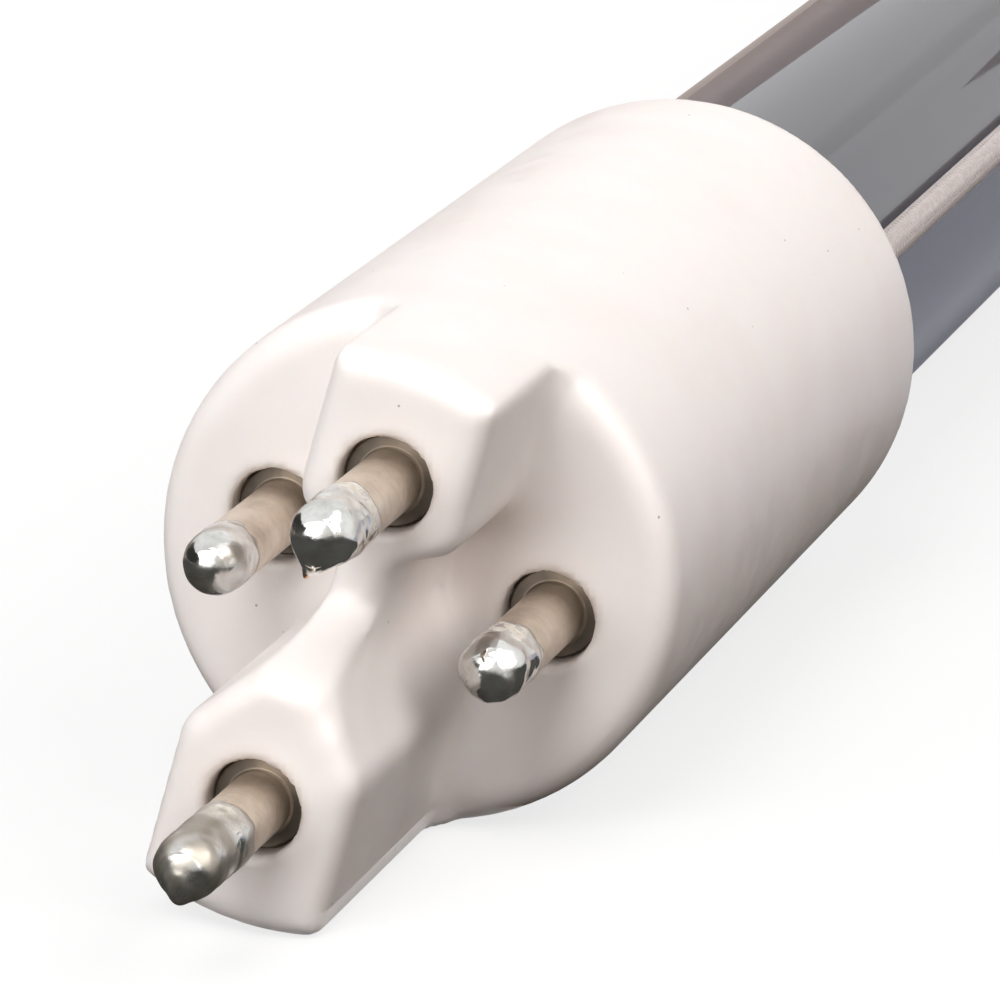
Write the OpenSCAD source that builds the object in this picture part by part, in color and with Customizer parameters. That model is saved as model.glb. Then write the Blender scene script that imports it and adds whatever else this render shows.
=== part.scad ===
// Single-ended germicidal lamp tube: a clear quartz discharge tube with a heated electrode at
// each end, a stepped ceramic base that carries all four contact pins, and a plain ceramic cap
// at the far end. The lamp's axis lies along Y with the pins towards -Y. The origin is on the
// axis, halfway along the straight barrel of the base.

/* [Base] */
// Wall of the base round the socket of the tube
base_wall = 1.6; // [1.4:0.05:2.6]
// Radius of the rounded rim round the low pads
rim_round = 1.1; // [0.6:0.1:1.4]
// Radius of the rounded rear rim
rear_round = 0.7; // [0.3:0.1:0.9]
// Height of the high pad over the low pads
high_step = 7.5; // [5:0.25:9]
// Height of the tower pad over the low pads
tower_step = 13.2; // [11:0.2:15]
// Turn of the whole pin pattern about the lamp's axis
key_turn = 16; // [0:1:45]

/* [Barrier] */
// Half width of the high block round its pin
block_half = 3.15; // [2.9:0.05:3.6]
// Half width of the tower round its pin
tower_half = 3.45; // [3.1:0.05:3.8]
// Half width of the rib that joins the two blocks
rib_half = 1.05; // [0.95:0.05:1.5]
// Radius of the barrier's outer corners in plan
corner_round = 1.35; // [1.1:0.05:1.5]
// Radius of the barrier's hollow corners in plan
hollow_round = 1.2; // [0.8:0.05:1.4]
// Radius of the barrier's rounded top edges
top_round = 0.85; // [0.4:0.05:0.9]
// Radius of the fillet along the barrier's foot
foot_round = 0.6; // [0.3:0.05:0.9]
// Length of the slope from the rib's level up to the tower
ramp_len = 2; // [1.2:0.1:2.8]
// Heights over the axis, in plan, of the high block's corners and of its end at the rib
block_low = 3.7; // [3.5:0.1:4]
rib_high = 2.6; // [2.2:0.1:2.8]
// Depths under the axis, in plan, of the rib's lower end and of the tower's corners
rib_low = 0.2; // [0:0.1:0.6]
tower_high = 3.4; // [3.1:0.1:3.7]

/* [Contact pins] */
// Diameter of a contact pin
pin_d = 2.35; // [2:0.05:2.6]
// Diameter of the circle on which the four pins stand
pin_circle_d = 10.9; // [10.4:0.1:11.4]
// Length of a pin that stands out of its pad
pin_out = 7.5; // [6:0.25:9]
// Diameter of the hole through a pin for its lead wire
pin_hole_d = 1; // [0.8:0.05:1.2]
// Diameter of the round recess at the foot of each pin
recess_d = 3.55; // [3.2:0.05:3.9]
// Depth of that recess
recess_depth = 1.3; // [0.9:0.1:2]
// Thickness of the pin's collar at the bottom of the recess
collar_t = 0.5; // [0.3:0.05:0.7]
// Thickness of the ceramic web that each pin is staked into
pin_web = 5; // [4.2:0.1:5.2]
// Diameter of the flared tail behind the web
tail_d = 3.2; // [2.9:0.05:3.5]
// Depth of the solder plug inside the pin's tip
plug_depth = 1.8; // [1:0.1:3]

/* [Tube] */
// Outer diameter of the quartz tube
tube_d = 16; // [15:0.25:16.5]
// Wall thickness of the quartz tube
tube_wall = 1; // [0.8:0.05:1.3]
// Length of the lamp, from the low pads to the far end of the cap
lamp_len = 212; // [180:1:436]
// Depth of full tube inside the base
tube_insert = 17; // [12:0.5:18]
// Width of the pressed seal at each end of the tube
press_w = 12; // [10.5:0.25:13]
// Thickness of the pressed seal
press_t = 3.6; // [3:0.1:4.2]
// Length of the pressed seal beyond the tube's shoulder
press_len = 7; // [6:0.25:8]
// Radius of the shoulder between the tube and the seal
shoulder_round = 4; // [3:0.25:5]

/* [Base inside] */
// Radial gap for cement between tube and ceramic
cement_gap = 0.4; // [0.25:0.05:0.6]
// Length of the cement ring
cement_len = 13; // [8:0.5:14]
// Thickness of ceramic in front of the wiring space, under the low pads
front_web = 5.5; // [5.4:0.1:6.5]
// Length of the wiring space, from the ceramic web to the pressed seal
wiring_len = 7; // [6.5:0.25:12]
// Diameter of the passages behind the pins
passage_d = 4; // [3.7:0.1:4.2]

/* [Far cap] */
// Wall of the cap round the socket of the tube
cap_wall = 1.6; // [1.4:0.05:2.6]
// Length of the far cap
cap_len = 20; // [18:0.5:26]
// Thickness of the cap's end wall
cap_end = 3; // [2:0.25:4]
// Depth of full tube inside the cap
cap_insert = 7; // [5:0.25:8]
// Radius of the cap's rounded edges
cap_round = 0.8; // [0.3:0.1:1.2]

/* [Electrodes] */
// Spacing of the two lead-through foils across the seal
foil_pitch = 6; // [5:0.25:6.5]
// Width of a sealing foil
foil_w = 2; // [1.5:0.1:2.4]
// Length of a sealing foil
foil_len = 3.4; // [3:0.1:4]
// Thickness of a sealing foil
foil_t = 0.1; // [0.06:0.01:0.16]
// Diameter of the electrode posts
post_d = 0.7; // [0.5:0.05:0.8]
// Length of a post that stands inside the discharge space
post_out = 14; // [10:0.5:20]
// Diameter of the filament coil
coil_d = 1.9; // [1.4:0.1:2.2]
// Turns in the filament coil
coil_turns = 8; // [5:1:10]
// Diameter of the coiled wire in the filament
coil_wire_d = 0.4; // [0.3:0.02:0.45]

/* [Leads] */
// Diameter of the bare lead wires
lead_d = 0.6; // [0.4:0.05:0.7]
// Outer diameter of the sleeves on the return wires
sleeve_d = 1.3; // [1.1:0.05:1.4]
// Angle of the first return wire about the axis, from the pin pattern
wire_turn = 40; // [36:1:50]
// Diameter of the amalgam pellet
pellet_d = 2.4; // [1.6:0.1:3]

/* [Hidden] */

$fn = 64;
// Running clearances: round wires in their holes, thin parts in their slots, a pin in its web
wire_fit = 0.03;
slot_fit = 0.02;
pin_fit = 0.04;
// Gaps of a sleeve to the tube that it lies on, and to the groove that it passes through
sleeve_gap = 0.05;
groove_gap = 0.1;
// Overlap that lets one cut run cleanly into the next, and how far rough blocks pass the barrel
over = 0.5;
margin = 2;

// Length of the barrel, from the two low pads to the rear rim, and both outer diameters
base_len = front_web + wiring_len + press_len + tube_insert;
base_d = tube_d + 2 * (cement_gap + base_wall);
cap_d = tube_d + 2 * (cement_gap + cap_wall);

front_y = -base_len / 2;
rear_y = base_len / 2;
far_y = front_y + lamp_len;
pin_r = pin_circle_d / 2;
socket_d = tube_d + 2 * cement_gap;
space_y = front_y + front_web;
tube_near_y = rear_y - tube_insert;
tube_far_y = far_y - cap_len + cap_insert;
near_seal_y = tube_near_y - press_len;
far_seal_y = tube_far_y + press_len;
wire_r = tube_d / 2 + sleeve_d / 2 + sleeve_gap;
groove_d = sleeve_d + 2 * groove_gap;
// Small parts of the pins: length of the tail, thickness of its flare, gap round the collar
tail_len = 1.2;
flare_t = 0.5;
collar_gap = 0.075;
// Rounded edge of the pressed seal, and how far it stays out of the discharge space
press_round = 0.9;
press_bite = 0.1;
// Set-back of the cement from the rim, run of a lead before it bends, hidden length of a sleeve
cement_set = 0.6;
lead_bend = wiring_len / 3;
sleeve_in = 10;
// Place of the pellet behind the base, and the fineness of the coil
pellet_in = 22;
coil_steps = 10;
coil_sides = 6;
// Sides of a lead wire, and the run over which it bends
wire_sides = 12;
bend_run = 1;

// Each pin: angle about the axis in the pin pattern, and height of its pad over the low pads
PINS = [[180, 0], [90, high_step], [0, 0], [270, tower_step]];

function pad_y(i) = front_y - PINS[i][1];
function pin_x(i) = pin_r * cos(PINS[i][0]);
function pin_z(i) = pin_r * sin(PINS[i][0]);
function smooth(t) = let (u = min(1, max(0, t))) u * u * (3 - 2 * u);

// Ends of a foil in the seal whose outer end is at seal_y: the outer end, then the inner one
function foil_from(seal_y, out) = seal_y - out * (press_len - foil_len) / 2;
function foil_to(seal_y, out) = seal_y - out * (press_len + foil_len) / 2;

// Place of each return wire round the tube
function wire_x(n) = wire_r * cos(wire_turn + 180 * n);
function wire_z(n) = wire_r * sin(wire_turn + 180 * n);
module at_wire(n) translate([wire_x(n), 0, wire_z(n)]) children();

// The pin pattern and all that belongs to it turns with the key
module keyed() rotate([0, key_turn, 0]) children();

// A round bar along Y between two stations
module rod_y(y0, y1, d) {
    translate([0, y1, 0]) rotate([90, 0, 0]) cylinder(h = y1 - y0, d = d);
}

module rod_between(a, b, d) rod_y(min(a, b), max(a, b), d);

// A flat bar along Y between two stations
module box_y(a, b, w, t) {
    translate([-w / 2, min(a, b), -t / 2]) cube([w, abs(b - a), t]);
}

// A profile of [radius, y] points spun round the Y axis
module spin_y(points) {
    rotate([-90, 0, 0]) rotate_extrude($fn = 96) polygon(points);
}

// Points of a quarter round: centre, radius, start angle, and steps
function quarter(cx, cy, r, a0, steps = 6) =
    [for (i = [0 : steps]) let (a = a0 + 90 * i / steps) [cx + r * cos(a), cy + r * sin(a)]];

// Barrel with a rounded nose at the given station and a rounded rear rim
module barrel(nose_y, nose_round) {
    r = base_d / 2;
    spin_y(concat([[0, nose_y]],
        quarter(r - nose_round, nose_y + nose_round, nose_round, -90),
        quarter(r - rear_round, rear_y - rear_round, rear_round, 0),
        [[0, rear_y]]));
}

// Barrier

// Corners of the barrier's right half in plan, from the high block down to the tower:
// across, up, corner radius, and how many cuts the straight run after the corner gets
reach = base_d / 2 + margin;
HALF = [
    [block_half, reach, 0, 1],
    [block_half, block_low, corner_round, 1],
    [rib_half, rib_high, hollow_round, 7],
    [rib_half, -rib_low, hollow_round, 2],
    [tower_half, -tower_high, corner_round, 1],
    [tower_half, -reach, 0, 0]];

function unit(v) = v / norm(v);
function turned(v) = [-v[1], v[0]];

// Points and outward normals of one corner, rounded where it has a radius
function corner_points(i, steps = 5) =
    let (p = [HALF[i][0], HALF[i][1]], r = HALF[i][2])
    i == 0 ? [[p, [1, 0]]] :
    i == len(HALF) - 1 ? [[p, [1, 0]]] :
    let (
        into = unit(p - [HALF[i - 1][0], HALF[i - 1][1]]),
        out = unit([HALF[i + 1][0], HALF[i + 1][1]] - p),
        bend = into[0] * out[1] - into[1] * out[0],
        side = bend < 0 ? 1 : -1,
        angle = acos(into * out),
        back = r * tan(angle / 2),
        n0 = turned(into),
        centre = p - into * back - n0 * r * side)
    [for (k = [0 : steps])
        let (a = -side * angle * k / steps,
            n = [n0[0] * cos(a) - n0[1] * sin(a), n0[0] * sin(a) + n0[1] * cos(a)])
        [centre + n * r * side, n]];

// The straight run after a corner, cut into equal lengths
function run_points(i) =
    let (a = corner_points(i), b = corner_points(i + 1),
        p = a[len(a) - 1][0], q = b[0][0], n = a[len(a) - 1][1], cuts = HALF[i][3])
    cuts < 2 ? [] : [for (k = [1 : cuts - 1]) [p + (q - p) * k / cuts, n]];

RIGHT = [for (i = [0 : len(HALF) - 1])
    each concat(corner_points(i), i < len(HALF) - 1 ? run_points(i) : [])];

// Height of the barrier's top over the low pads: level on the block and the rib, then a smooth
// slope up to the tower
ramp_top = ramp_len / 2;
function top_height(z) =
    high_step + (tower_step - high_step) * smooth((ramp_top - z) / ramp_len);

// Rings of the barrier's side: outward offset, height over the pads, and whether that height
// is counted from the foot or from the top. The first ring lies sunk in the barrel.
foot_steps = 3;
top_steps = 4;
barrier_sink = 1;
SIDE = concat(
    [[foot_round, -barrier_sink, false]],
    [for (k = [0 : foot_steps]) let (a = 90 * k / foot_steps)
        [foot_round * (1 - sin(a)), foot_round * (1 - cos(a)), false]],
    [for (k = [0 : top_steps]) let (a = 90 * k / top_steps)
        [-top_round * (1 - cos(a)), -top_round * (1 - sin(a)), true]]);

function side_point(p, ring, mirrored) =
    let (x = p[0][0] + p[1][0] * ring[0], z = p[0][1] + p[1][1] * ring[0],
        h = ring[2] ? top_height(z) + ring[1] : ring[1])
    [mirrored ? -x : x, front_y - h, z];

module barrier_block() {
    m = len(RIGHT);
    n = 2 * m;
    rings = len(SIDE);
    points = [for (ring = SIDE) each concat(
        [for (i = [0 : m - 1]) side_point(RIGHT[i], ring, false)],
        [for (i = [m - 1 : -1 : 0]) side_point(RIGHT[i], ring, true)])];
    walls = [for (k = [0 : rings - 2], i = [0 : n - 1])
        let (a = k * n + i, b = k * n + (i + 1) % n, c = b + n, d = a + n)
        each [[a, b, c], [a, c, d]]];
    last = (rings - 1) * n;
    foot = [for (i = [0 : m - 2]) [i, n - 1 - i, n - 2 - i, i + 1]];
    top = [for (i = [0 : m - 2]) [last + i, last + i + 1, last + n - 2 - i, last + n - 1 - i]];
    polyhedron(points, concat(walls, foot, top), convexity = 6);
}

// The barrier, trimmed to the barrel's rounded rim at the level of each of its two blocks
module barrier() {
    intersection() {
        barrier_block();
        union() {
            intersection() {
                barrel(front_y - high_step, top_round);
                half_space(1);
            }
            intersection() {
                barrel(front_y - tower_step, top_round);
                half_space(-1);
            }
        }
    }
}

// All that lies above (side 1) or below (side -1) the waist of the rib
module half_space(side) {
    size = 3 * base_len;
    waist = HALF[2][1];
    translate([-size / 2, -size / 2, side > 0 ? waist : waist - size]) cube(size);
}

// Ceramic base

module base_cuts() {
    // Socket for the tube, and the wiring space in front of it
    rod_y(space_y, rear_y + over, socket_d);
    for (i = [0 : 3]) translate([pin_x(i), 0, pin_z(i)]) {
        rod_y(pad_y(i) - over, pad_y(i) + recess_depth, recess_d);
        rod_y(pad_y(i), pad_y(i) + pin_web + over, pin_d + 2 * pin_fit);
        rod_y(pad_y(i) + pin_web, space_y + over, passage_d);
    }
    for (side = [0, 1]) at_wire(side) rod_y(space_y, rear_y + over, groove_d);
}

module base_shell() {
    color("#f3ece8") keyed() difference() {
        union() {
            barrel(front_y, rim_round);
            barrier();
        }
        base_cuts();
    }
}

// Cement between the tube and a ceramic, left open where the return wires pass
module cement_ring(y0, y1) {
    difference() {
        rod_y(y0, y1, socket_d);
        rod_y(y0 - over, y1 + over, tube_d);
        for (side = [0, 1]) at_wire(side) rod_y(y0 - over, y1 + over, groove_d);
    }
}

module base_cement() {
    color("#e4dccb") keyed() cement_ring(rear_y - cement_len - cement_set, rear_y - cement_set);
}

// Contact pins

// Each pin is a tube with a collar in front of the web and a flared tail behind it
module contact_pin(i) {
    y = pad_y(i);
    color("#b8a78d") keyed() translate([pin_x(i), 0, pin_z(i)]) difference() {
        union() {
            rod_y(y - pin_out + pin_d / 2, y + pin_web + tail_len, pin_d);
            rod_y(y + recess_depth - collar_t, y + recess_depth, recess_d - 2 * collar_gap);
            rod_y(y + pin_web, y + pin_web + flare_t, tail_d);
        }
        rod_y(y - pin_out, y + pin_web + tail_len + over, pin_hole_d);
    }
}

// Solder dome on the pin's tip, with the plug that fills the end of its hole
module pin_solder(i) {
    r = pin_d / 2;
    plug_r = pin_hole_d / 2;
    color("#c9cccd") keyed() translate([pin_x(i), pad_y(i) - pin_out + r, pin_z(i)])
        spin_y(concat(quarter(0, 0, r, -90, 8), [[plug_r, 0], [plug_r, plug_depth], [0, plug_depth]]));
}

// Discharge tube

// Rounded bar of the pressed seal, with its section across the lamp
module press_bar(y0, y1) {
    r = press_round;
    translate([0, y1, 0]) rotate([90, 0, 0]) linear_extrude(y1 - y0) {
        square([press_w - 2 * r, press_t], center = true);
        square([press_w, press_t - 2 * r], center = true);
        for (x = [-1, 1], z = [-1, 1])
            translate([x * (press_w / 2 - r), z * (press_t / 2 - r)]) circle(r);
    }
}

// Closed round body between two stations, with rounded shoulders
module closed_tube(y0, y1, r, shoulder) {
    spin_y(concat([[0, y0]], quarter(r - shoulder, y0 + shoulder, shoulder, -90),
        quarter(r - shoulder, y1 - shoulder, shoulder, 0), [[0, y1]]));
}

// Slots of one end: face_y is where the discharge space ends, seal_y where the seal ends
module seal_slots(face_y, seal_y) {
    out = seal_y < face_y ? -1 : 1;
    foil_a = foil_from(seal_y, out);
    foil_b = foil_to(seal_y, out);
    for (x = [-1, 1]) translate([x * foil_pitch / 2, 0, 0]) {
        box_y(foil_a, foil_b, foil_w + 2 * slot_fit, foil_t + 2 * slot_fit);
        rod_between(foil_a, seal_y + out * over, lead_d + 2 * wire_fit);
        rod_between(foil_b, face_y - out * over, post_d + 2 * wire_fit);
    }
}

module quartz_tube() {
    color("#9aa0a8", 0.5) keyed() difference() {
        union() {
            closed_tube(tube_near_y, tube_far_y, tube_d / 2, shoulder_round);
            press_bar(near_seal_y, tube_near_y + tube_wall - press_bite);
            press_bar(tube_far_y - tube_wall + press_bite, far_seal_y);
        }
        closed_tube(tube_near_y + tube_wall, tube_far_y - tube_wall,
            tube_d / 2 - tube_wall, shoulder_round - tube_wall);
        seal_slots(tube_near_y + tube_wall, near_seal_y);
        seal_slots(tube_far_y - tube_wall, far_seal_y);
    }
}

module amalgam_pellet() {
    r = pellet_d / 2;
    color("#aeb2b5") translate([0, rear_y + pellet_in, -(tube_d / 2 - tube_wall - r - slot_fit)])
        sphere(r);
}

// Electrodes

module foil(side, seal_y, out) {
    color("#7d7f83") keyed() translate([side * foil_pitch / 2, 0, 0])
        box_y(foil_from(seal_y, out), foil_to(seal_y, out), foil_w, foil_t);
}

module post(side, seal_y, face_y, out) {
    color("#9a9ca0") keyed() translate([side * foil_pitch / 2, 0, 0])
        rod_between(foil_to(seal_y, out), face_y - out * (post_out + post_d), post_d);
}

// Coiled filament across the two posts
module filament(face_y, out) {
    r = (coil_d - coil_wire_d) / 2;
    span = foil_pitch - post_d - coil_wire_d - 2 * slot_fit;
    y = face_y - out * post_out;
    steps = coil_turns * coil_steps;
    color("#d8d6d0") keyed() swept([for (k = [0 : steps]) let (a = 360 * k / coil_steps)
        [span * (k / steps - 0.5), y + r * cos(a), r * sin(a)]], coil_wire_d, coil_sides);
}

// Leads

// A route of points with each inner corner rounded over the given run
function rounded(p, run, steps = 4) = let (n = len(p)) concat([p[0]],
    [for (k = [1 : n - 2], j = [0 : steps])
        let (t = j / steps, a = unit(p[k - 1] - p[k]), b = unit(p[k + 1] - p[k]))
        p[k] + a * run * pow(1 - t, 2) + b * run * pow(t, 2)],
    [p[n - 1]]);

// Round wire swept along a route, each ring turned as little as the route allows
module swept(p, d, sides) {
    n = len(p);
    t = [for (k = [0 : n - 1]) unit(p[min(k + 1, n - 1)] - p[max(k - 1, 0)])];
    first = unit(cross(t[0], abs(t[0][2]) < 0.9 ? [0, 0, 1] : [1, 0, 0]));
    across = [for (k = 0, v = first; k < n;
        k = k + 1, v = k < n ? unit(v - t[k] * (v * t[k])) : v) v];
    points = [for (k = [0 : n - 1], j = [0 : sides - 1]) let (b = 360 * j / sides)
        p[k] + (across[k] * cos(b) + cross(t[k], across[k]) * sin(b)) * d / 2];
    skin = [for (k = [0 : n - 2], j = [0 : sides - 1])
        let (a = k * sides + j, b = k * sides + (j + 1) % sides)
        each [[a, b, a + sides], [b, b + sides, a + sides]]];
    ends = [[for (j = [sides - 1 : -1 : 0]) j], [for (j = [0 : sides - 1]) (n - 1) * sides + j]];
    polyhedron(points, concat(skin, ends), convexity = 10);
}

module wire(points) swept(rounded(points, bend_run), lead_d, wire_sides);

// End of the wire inside a pin, against the solder plug
function wire_end(i) = [pin_x(i), pad_y(i) - pin_out + pin_d / 2 + plug_depth, pin_z(i)];

// From the near seal to one of the two pins on the low pads
module near_lead(side, i) {
    x = side * foil_pitch / 2;
    color("#a9a7a1") keyed() wire([
        [x, foil_from(near_seal_y, -1), 0],
        [x, near_seal_y - lead_bend, 0],
        [pin_x(i), near_seal_y - 2 * lead_bend, pin_z(i)],
        wire_end(i)]);
}

// From the far seal, back along the outside of the tube, to a pin on a high pad
module return_wire(n, i) {
    side = n == 0 ? 1 : -1;
    x = side * foil_pitch / 2;
    turn_y = far_seal_y + lead_bend / 2;
    color("#a9a7a1") keyed() wire([
        [x, foil_from(far_seal_y, 1), 0],
        [x, turn_y, 0],
        [wire_x(n), turn_y, wire_z(n)],
        [wire_x(n), near_seal_y - lead_bend, wire_z(n)],
        [pin_x(i), near_seal_y - 2 * lead_bend, pin_z(i)],
        wire_end(i)]);
}

module wire_sleeve(n) {
    y0 = rear_y - sleeve_in;
    y1 = far_y - cap_len + cap_insert;
    color("#e9dfd8") keyed() at_wire(n) difference() {
        rod_y(y0, y1, sleeve_d);
        rod_y(y0 - over, y1 + over, lead_d + 2 * wire_fit);
    }
}

// Far cap

module end_cap() {
    y0 = far_y - cap_len;
    r = cap_d / 2;
    color("#f3ece8") keyed() difference() {
        spin_y(concat([[0, y0]], quarter(r - cap_round, y0 + cap_round, cap_round, -90),
            quarter(r - cap_round, far_y - cap_round, cap_round, 0), [[0, far_y]]));
        rod_y(y0 - over, far_y - cap_end, socket_d);
        for (side = [0, 1]) at_wire(side) rod_y(y0 - over, far_y - cap_end, groove_d);
    }
}

module cap_cement() {
    y0 = far_y - cap_len + cement_set;
    color("#e4dccb") keyed() cement_ring(y0, y0 + cap_insert - shoulder_round);
}

base_shell();
base_cement();
contact_pin(0);  // contact_pin_1
contact_pin(1);  // contact_pin_2
contact_pin(2);  // contact_pin_3
contact_pin(3);  // contact_pin_4
pin_solder(0);  // pin_solder_1
pin_solder(1);  // pin_solder_2
pin_solder(2);  // pin_solder_3
pin_solder(3);  // pin_solder_4
quartz_tube();
amalgam_pellet();
foil(-1, near_seal_y, -1);  // near_foil_1
foil(1, near_seal_y, -1);  // near_foil_2
post(-1, near_seal_y, tube_near_y + tube_wall, -1);  // near_post_1
post(1, near_seal_y, tube_near_y + tube_wall, -1);  // near_post_2
filament(tube_near_y + tube_wall, -1);  // near_filament
near_lead(-1, 0);  // near_lead_1
near_lead(1, 2);  // near_lead_2
foil(1, far_seal_y, 1);  // far_foil_1
foil(-1, far_seal_y, 1);  // far_foil_2
post(1, far_seal_y, tube_far_y - tube_wall, 1);  // far_post_1
post(-1, far_seal_y, tube_far_y - tube_wall, 1);  // far_post_2
filament(tube_far_y - tube_wall, 1);  // far_filament
return_wire(0, 1);  // return_wire_1
return_wire(1, 3);  // return_wire_2
wire_sleeve(0);  // wire_sleeve_1
wire_sleeve(1);  // wire_sleeve_2
end_cap();
cap_cement();
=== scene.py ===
"""A germicidal lamp tube with four pins at one end, finished over its CAD frame."""
import math

import bmesh
import bpy
import numpy as np
from mathutils import Matrix, Vector, noise


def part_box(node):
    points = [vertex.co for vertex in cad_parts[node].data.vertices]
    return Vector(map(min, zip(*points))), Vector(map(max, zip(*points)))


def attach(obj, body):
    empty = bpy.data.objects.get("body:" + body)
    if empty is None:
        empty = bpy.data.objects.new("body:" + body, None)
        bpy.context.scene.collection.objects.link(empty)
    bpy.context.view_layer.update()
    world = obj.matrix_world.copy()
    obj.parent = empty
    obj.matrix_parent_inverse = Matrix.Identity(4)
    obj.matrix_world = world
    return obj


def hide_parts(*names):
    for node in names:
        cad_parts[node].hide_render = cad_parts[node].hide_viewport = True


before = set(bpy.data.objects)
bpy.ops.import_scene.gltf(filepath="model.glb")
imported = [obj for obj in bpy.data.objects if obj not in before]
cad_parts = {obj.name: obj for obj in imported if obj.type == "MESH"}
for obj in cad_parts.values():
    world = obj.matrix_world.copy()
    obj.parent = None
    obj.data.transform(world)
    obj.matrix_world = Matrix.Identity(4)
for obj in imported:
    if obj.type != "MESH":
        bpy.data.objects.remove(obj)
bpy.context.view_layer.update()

# Sizes of the CAD part, in metres, that the shapes below are drawn to

MM = 0.001
WELD = 0.0001 * MM
BARREL_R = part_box("base_shell")[1].x
PIN_R = 1.175 * MM
PIN_OUT = 7.5 * MM
RECESS_R = 1.775 * MM
RECESS_DEPTH = 1.3 * MM
COLLAR_T = 0.5 * MM
COLLAR_GAP = 0.075 * MM
TAIL_R = 1.6 * MM
FLARE_T = 0.5 * MM
PIN_WEB = 5 * MM
TAIL_LEN = 1.2 * MM
PINS = (1, 2, 3, 4)
TUBE_R = 8 * MM
TUBE_WALL = 1 * MM
SHOULDER = 4 * MM
PRESS_LEN = 7 * MM
PRESS_W = 12 * MM
PRESS_T = 3.6 * MM
POST_D = 0.7 * MM
COIL_D = 1.9 * MM
COIL_WIRE_D = 0.4 * MM
COIL_TURNS = 8
SLEEVE_R = 0.65 * MM
SLEEVE_BORE = 0.34 * MM


def middle(node):
    """Middle of a node's box."""
    low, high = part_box(node)
    return (low + high) / 2


def pin_axis(number):
    """Point on a pin's axis at the level of its pad."""
    node = f"contact_pin_{number}"
    heart = middle(node)
    return Vector((heart.x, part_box(node)[1].y - TAIL_LEN - PIN_WEB, heart.z))


# Meshes

def points_of(mesh):
    """The mesh's points as an array."""
    flat = np.empty(len(mesh.vertices) * 3)
    mesh.vertices.foreach_get("co", flat)
    return flat.reshape(-1, 3)


def normals_of(mesh):
    """The mesh's point normals as an array."""
    flat = np.empty(len(mesh.vertices) * 3)
    mesh.vertex_normals.foreach_get("vector", flat)
    return flat.reshape(-1, 3)


def place_points(mesh, points):
    """Puts the mesh's points at new places."""
    mesh.vertices.foreach_set("co", np.asarray(points, dtype=np.float32).ravel())
    mesh.update()


def paint(mesh, name, values):
    """Keeps one number a point under a name that a finish reads."""
    layer = mesh.attributes.new(name, "FLOAT", "POINT")
    layer.data.foreach_set("value", np.asarray(values, dtype=np.float32))


def from_axis(points, axis):
    """Each point's offsets across and up from an axis along Y, and its distance from it."""
    across = points[:, 0] - axis.x
    rise = points[:, 2] - axis.z
    return across, rise, np.hypot(across, rise)


def shown(name, mesh):
    """A new object of that mesh in the scene."""
    piece = bpy.data.objects.new(name, mesh)
    bpy.context.scene.collection.objects.link(piece)
    return piece


def settled(piece):
    """The piece's mesh with its modifiers worked in, and the piece itself removed."""
    seen = piece.evaluated_get(bpy.context.evaluated_depsgraph_get())
    mesh = bpy.data.meshes.new_from_object(seen)
    bpy.data.objects.remove(piece)
    return mesh


def merged_copy(node):
    """The node's mesh as one closed skin."""
    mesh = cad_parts[node].data.copy()
    shape = bmesh.new()
    shape.from_mesh(mesh)
    bmesh.ops.remove_doubles(shape, verts=shape.verts, dist=WELD)
    shape.to_mesh(mesh)
    shape.free()
    return mesh


def smooth_noise(points, size, seed):
    """Soft noise from -1 to 1 at each point, with lumps of about that size."""
    shift = Vector((seed * 7.3, seed * 3.1, seed * 5.7))
    return np.array([noise.noise(Vector(p) / size + shift) for p in points])


def turned(profile, sides, place):
    """A closed body of revolution about an axis along Y, from (radius, y) points."""
    verts = []
    faces = []
    for radius, y in profile:
        for k in range(sides):
            angle = 2 * math.pi * k / sides
            verts.append(place + Vector((radius * math.cos(angle), y, radius * math.sin(angle))))
    for ring in range(len(profile) - 1):
        for k in range(sides):
            a = ring * sides + k
            b = ring * sides + (k + 1) % sides
            faces.append((a, a + sides, b + sides, b))
    mesh = bpy.data.meshes.new("turned")
    mesh.from_pydata(verts, [], faces)
    shape = bmesh.new()
    shape.from_mesh(mesh)
    bmesh.ops.remove_doubles(shape, verts=shape.verts, dist=WELD)
    bmesh.ops.holes_fill(shape, edges=shape.edges, sides=sides)
    bmesh.ops.recalc_face_normals(shape, faces=shape.faces)
    shape.to_mesh(mesh)
    shape.free()
    mesh.polygons.foreach_set("use_smooth", [True] * len(mesh.polygons))
    return mesh


# Shapes made by rule

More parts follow.
